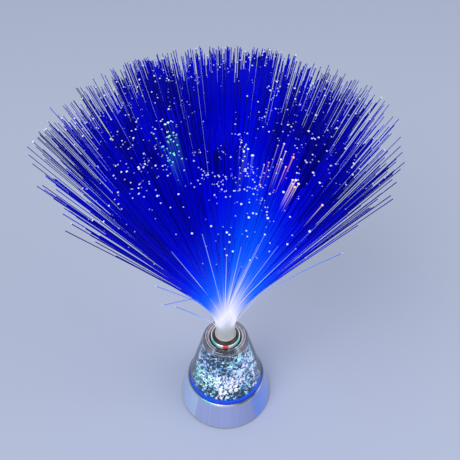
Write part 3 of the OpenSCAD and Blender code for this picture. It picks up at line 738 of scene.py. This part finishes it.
def near_aims(ahead, aims, spread):
    """The number of the aim that each direction is nearest to, and whether it is within the
    spread of that aim, in degrees."""
    bearing, tilt = np.array(aims).T[:2]
    off = np.degrees(np.arccos(np.clip(ahead @ aim(bearing, tilt).T, -1, 1))) / spread
    return off.argmin(1), off.min(1) < 1


def strand_lights(ends, tuft):
    """How far each strand's light has faded against its length, the hue of its end, the strength
    of the light there and how much of it the end throws back down its strand. Strands that lean
    to the front carry their light further and those at the sides less far. WHITE_LINES keep it to
    their end, and near HOT_ENDS it comes out in colour."""
    ahead = unit(ends - [0, 0, MOUTH_Z])
    fade = FADE + SIDE_FADE * np.abs(ahead[:, 0] - BRIGHT_LEAN)
    fade += FRONT_FADE * np.minimum(ahead[:, 1], 0)
    fade[(ahead @ aim(*np.array(WHITE_LINES).T).T).argmax(0)] = LINE_FADE
    spot, hot = near_aims(ahead, HOT_ENDS, np.array(HOT_ENDS)[:, 3])
    soft = near_aims(ahead, SOFT_ENDS, SOFT_SPREAD)[1]
    chance = rng.uniform(0, 1, (3, len(ends)))
    coloured = np.array(HOT_ENDS)[spot, 2] + rng.normal(0, HUE_SHAKE, len(ends))
    hue = np.where(hot, coloured, PLAIN_HUES[0] + PLAIN_HUES[1] * chance[0])
    lit = chance[1] < rng.uniform(*LIT_ENDS, TUFTS)[tuft]
    glow = np.where(lit, LIT_GLOW[0] + LIT_GLOW[1] * chance[2] ** 1.5, 0)
    glow = np.where(soft, SOFT_GLOW[0] + SOFT_GLOW[1] * chance[2], glow)
    glow = np.where(hot, HOT_GLOW[0] + HOT_GLOW[1] * chance[2], glow)
    thrown = np.where(hue > WARM_HUE, WARM_THROWN, COOL_THROWN) * hot
    return fade[:, None], np.clip(hue, 0, 1), glow, thrown


def make_strands():
    """The fan of strands as four-sided tubes, and a bead of light on each end that shines."""
    paths, side, shade, tuft = strand_paths()
    packed = len(PACKED_Z)
    share = np.concatenate([np.zeros(packed), SHARES[1:]])
    ends = paths[:, -1]
    fade, hue, glow, thrown = strand_lights(ends, tuft)
    line = fade == LINE_FADE
    outer_r = np.where(line, LINE_R, STRAND_R)
    radius = np.where(np.arange(len(share)) < packed - 1, PACKED_R, outer_r)
    light = np.clip(fade * share, 0, 1)
    tone = 1 - (1 - shade[:, None]) * np.clip(SHADE_RATE * light - SHADE_LAG, 0, 1)
    streak = rng.uniform(*PACKED_TONE, STRANDS)[:, None]
    tone = np.where(share == 0, streak, tone)
    near_end = np.clip((share - THROWN_FROM) / (1 - THROWN_FROM), 0, 1)
    shine = (thrown * glow.clip(0, 1) ** 2)[:, None] * near_end
    drawn = {"share": light, "tone": np.maximum(tone, shine), "shine": shine,
             "hue": np.broadcast_to(hue[:, None], light.shape)}
    for number in range(FAN_PIECES):
        some = slice(number, None, FAN_PIECES)
        points, faces = tubes(paths[some], side[some], radius[some], SIDES)
        at_points = {key: np.repeat(values[some].ravel(), SIDES) for key, values in drawn.items()}
        fan = make_piece(f"strand_fan_{number + 1}", points, faces, "spray",
                         at_points)
        fan.data.materials.append(looks["drawn_acrylic"])
        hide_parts("fibre_spray", "fibre_bundle")
    lit = glow > 0
    make_tips("strand_tips", ends[lit], unit(ends - paths[:, -2])[lit], hue[lit], glow[lit])


def make_strays():
    """The few strands that bend out of the fan, with their tips."""
    ends, aheads = [], []
    for number, (bearing, profile) in enumerate(STRAYS):
        out, z = np.array(profile).T
        turn = np.radians(bearing)
        path = through(np.stack([out * np.cos(turn), out * np.sin(turn), z], -1), STRAY_STEPS)
        side = np.array([[-np.sin(turn), np.cos(turn), 0]])
        points, faces = tubes(path[None], side, np.full(len(path), STRAY_R), SIDES)
        share = np.linspace(*STRAY_SHARES, len(path))
        stray = make_piece(f"stray_strand_{number + 1}", points, faces, "spray",
                           {"share": np.repeat(share, SIDES), "tone": np.ones(len(points)),
                            "shine": np.zeros(len(points)), "hue": np.zeros(len(points))})
        stray.data.materials.append(looks["drawn_acrylic"])
        ends.append(path[-1])
        aheads.append(path[-1] - path[-2])
    count = len(ends)
    make_tips("stray_tips", np.array(ends), unit(np.array(aheads)), np.full(count, STRAY_HUE),
              np.full(count, STRAY_GLOW))


def make_tips(name, ends, ahead, hue, glow):
    """A bead of light on each end: two poles and a ring of six points between them. Most are little
    wider than their strand, and the brightest nearly four times as wide."""
    count = len(ends)
    size = STRAND_R * (BEAD_W + BEAD_SWELL * glow**2 * rng.uniform(0.3, 1, count))
    u = unit(np.cross(ahead, OFF_AXIS))
    v = np.cross(ahead, u)
    k = np.arange(BEAD_SIDES)
    turn = 2 * np.pi * k / BEAD_SIDES
    circle = np.cos(turn)[:, None] * u[:, None] + np.sin(turn)[:, None] * v[:, None]
    lift = np.array([BEAD_L, -BEAD_L])[:, None] * ahead[:, None]
    lump = np.concatenate([lift[:, :1], circle, lift[:, 1:]], 1)
    points = ends[:, None] + size[:, None, None] * lump
    corners = BEAD_SIDES + 2
    faces = spindles(BEAD_SIDES, count)
    tips = make_piece(name, points.reshape(-1, 3), faces.tolist(), "spray",
                      {"hue": np.repeat(hue, corners), "tone": np.repeat(glow, corners)})
    tips.data.materials.append(looks["cut_strand_end"])


# Crystals ---------------------------------------------------------------------------------

CHIP_PITCH = 4.8
LAYER_PITCH, RING_PITCH = 0.86 * CHIP_PITCH, 0.87 * CHIP_PITCH
CHIP_R = 0.72 * CHIP_PITCH
CHIP_SHAKE = 0.8
HEAP_TOP = 87
tube_r = box("light_tube")[1][0]
tube_top = box("light_tube")[1][2]
cone_low, cone_high = box("crystal_cone")
ring_inner = box("chamber_floor")[1][0]
COLLAR_R = 13.6
WALL = 2.4
CEILING_Z = 86.2
CEILING_ROUND = 2.2  # the chips keep clear of the ceiling's rounded corner, by a slope this wide
SKIN = 0.15  # room between a chip and what it leans on
SHOULDER_R, SHOULDER_Z = 21.6, 88.6
BELT = 5  # corners round the middle of a chip

# Pools of light in the heap, at POOL_R from the axis and blurred over about POOL_BLUR mm, as
# (bearing, height, hue of the broken acrylic, strength). The light also varies by chance.
POOL_R, POOL_BLUR = 28, 3
CHIP_VARIES, FACE_VARIES, HUE_VARIES = 0.2, 0.32, 0.1
LIGHT_POOLS = [(208, 48, 0.02, 0.62), (228, 42, 0.2, 0.4), (243, 36, 0.05, 0.14),
               (262, 44, 0.42, 0.95), (284, 51, 0.5, 0.85), (272, 34, 0.3, 0.42),
               (300, 36, 0.1, 0.2), (318, 46, 0.65, 0.5), (340, 40, 0.75, 0.3),
               (335, 60, 0.7, 0.6), (310, 68, 0.6, 0.62), (270, 60, 0.68, 0.6),
               (285, 72, 0.12, 0.4), (250, 70, 0.85, 0.38), (225, 66, 0.95, 0.36),
               (205, 62, 0.9, 0.5), (235, 54, 0.3, 0.75), (190, 40, 0.05, 0.25),
               (20, 50, 0.25, 0.6), (75, 45, 0.7, 0.5),
               (120, 55, 0.1, 0.55), (160, 70, 0.9, 0.5), (60, 72, 0.8, 0.45), (95, 36, 0.3, 0.3),
               (40, 38, 0.5, 0.4), (145, 40, 0.2, 0.6)]


def chamber_r(z):
    """Inner radius of the cone at a height: upright in the thick foot, then along the wall."""
    slope = (cone_high[0] - SHOULDER_R) / (SHOULDER_Z - cone_low[2])
    return np.minimum(ring_inner, cone_high[0] - slope * (z - cone_low[2]) - WALL)


def chip_centres():
    """Places of the chips: layers of rings from the wall inwards to the tube, then shaken."""
    centres = []
    for z in np.arange(cone_low[2] + 0.6 * CHIP_R, HEAP_TOP - 0.6 * CHIP_R, LAYER_PITCH):
        core = COLLAR_R if z + CHIP_R > tube_top - 3 else tube_r
        for r in np.arange(chamber_r(z) - 0.3 * CHIP_R, core + 0.4 * CHIP_R, -RING_PITCH):
            count = int(2 * np.pi * r / CHIP_PITCH)
            angle = 2 * np.pi * (np.arange(count) + rng.uniform()) / count
            centres.append(np.stack([r * np.cos(angle), r * np.sin(angle), np.full(count, z)], -1))
    centres = np.concatenate(centres)
    return centres + rng.uniform(-CHIP_SHAKE, CHIP_SHAKE, centres.shape)


def kept_inside(points):
    """Moves points that stick out of the chamber back on its wall, floor, ceiling or core, as
    chips that lean on them lie flat."""
    z = np.clip(points[..., 2], cone_low[2] + SKIN, CEILING_Z - SKIN)
    reach = np.linalg.norm(points[..., :2], axis=-1)
    core = np.where(z > tube_top - 2, COLLAR_R, tube_r) + SKIN
    rounded = np.clip(z - CEILING_Z + CEILING_ROUND, 0, CEILING_ROUND)
    held = np.clip(reach, core, chamber_r(z) - SKIN - rounded)
    return np.concatenate([points[..., :2] * (held / reach)[..., None], z[..., None]], -1)


def make_chips():
    """Chips fill the chamber. A chip is a splinter: two points, and between them an uneven belt of
    five corners, squeezed and turned at random."""
    centres = chip_centres()
    count = len(centres)
    around = 2 * np.pi * np.arange(BELT) / BELT
    belt = np.stack([np.cos(around), np.sin(around), 0 * around], -1)
    lump = np.concatenate([[[0, 0, 1.0]], belt, [[0, 0, -1.0]]])
    shapes = lump * rng.uniform(0.75, 1.0, (count, BELT + 2, 1))
    shapes *= rng.uniform(0.5, 1.0, (count, 1, 3))
    shapes[:, 1:-1, 2] += rng.uniform(-0.3, 0.3, (count, BELT))
    spin = np.linalg.qr(rng.normal(size=(count, 3, 3)))[0]
    spin *= np.sign(np.linalg.det(spin))[:, None, None]
    points = kept_inside(centres[:, None] + CHIP_R * np.einsum("nij,nkj->nki", spin, shapes))
    faces = spindles(BELT, count)
    hue, facet = chip_light(points.reshape(-1, 3)[faces].mean(1), count)
    fill = make_piece("crystal_fill", points.reshape(-1, 3), faces.tolist(), "root",
                      {"hue": hue, "facet": facet}, smooth=False)
    fill.data.materials.append(looks["broken_acrylic"])
    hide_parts("crystal_chips")


def chip_light(middles, count):
    """Hue and strength of the light in each face: those of the nearest pool, blurred by chance, a
    part of it chip by chip."""
    bearing, z, hues, strength = np.array(LIGHT_POOLS).T
    turn = np.radians(bearing)
    pools = np.stack([POOL_R * np.cos(turn), POOL_R * np.sin(turn), z], -1)
    shaken = middles + rng.normal(0, POOL_BLUR, middles.shape)
    near = np.linalg.norm(shaken[:, None] - pools, axis=-1).argmin(1)
    by_chip = np.repeat(rng.normal(0, CHIP_VARIES, count), len(middles) // count)
    facet = strength[near] + by_chip + rng.normal(0, FACE_VARIES, len(middles))
    hue = hues[near] + rng.normal(0, HUE_VARIES, len(middles))
    return np.clip(hue, 0, 1), np.clip(facet, 0, 1)


# Scene ------------------------------------------------------------------------------------

FINISHES = {
    silver_lacquer: ["base_skirt"],
    textured_abs: ["base_plate", "battery_door"],
    black_abs: ["switch_housing", "switch_knob"],
    foot_rubber: ["foot_ring"],
    dark_nylon: ["socket_bush"],
    cream_nylon: ["fibre_ferrule"],
    zinc_steel: ["base_screws", "board_screws", "door_hinge_pins"],
    nickel_steel: ["contact_springs", "contact_plates"],
    cell_jacket: ["battery_cells"],
    board_laminate: ["led_board"],
    led_epoxy: ["fibre_leds", "crystal_leds"],
    chip_resin: ["controller_chip"],
    resistor_coat: ["resistors"],
    capacitor_sleeve: ["capacitor"],
    red_pvc: ["positive_wire"],
    black_pvc: ["negative_wire", "switch_wires"],
    milky_acrylic: ["chamber_floor"],
    lit_blue_acrylic: ["light_ring"],
    gilt_chrome_painted_reflections: ["trim_ring"],
    bright_chrome: ["collar_ring"],
    cast_acrylic: ["crystal_cone", "light_tube"],
}


def finish_nodes():
    """Gives each CAD node its material in place of the plain one."""
    for recipe, names in FINISHES.items():
        for name in names:
            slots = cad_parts[name].data.materials
            slots.clear()
            slots.append(looks[recipe.__name__])


bpy.context.scene.view_settings.view_transform = "Standard"
recipes = [*FINISHES, studio_paper, drawn_acrylic, cut_strand_end, broken_acrylic]
looks = {recipe.__name__: material(recipe) for recipe in recipes}
make_camera()
make_world()
make_floor()
make_lamp("key", (-900, -1100, 1900), 1400, 22)
make_lamp("fill", (1500, -500, 1300), 1400, 10)
finish_nodes()
make_strands()
make_strays()
make_chips()
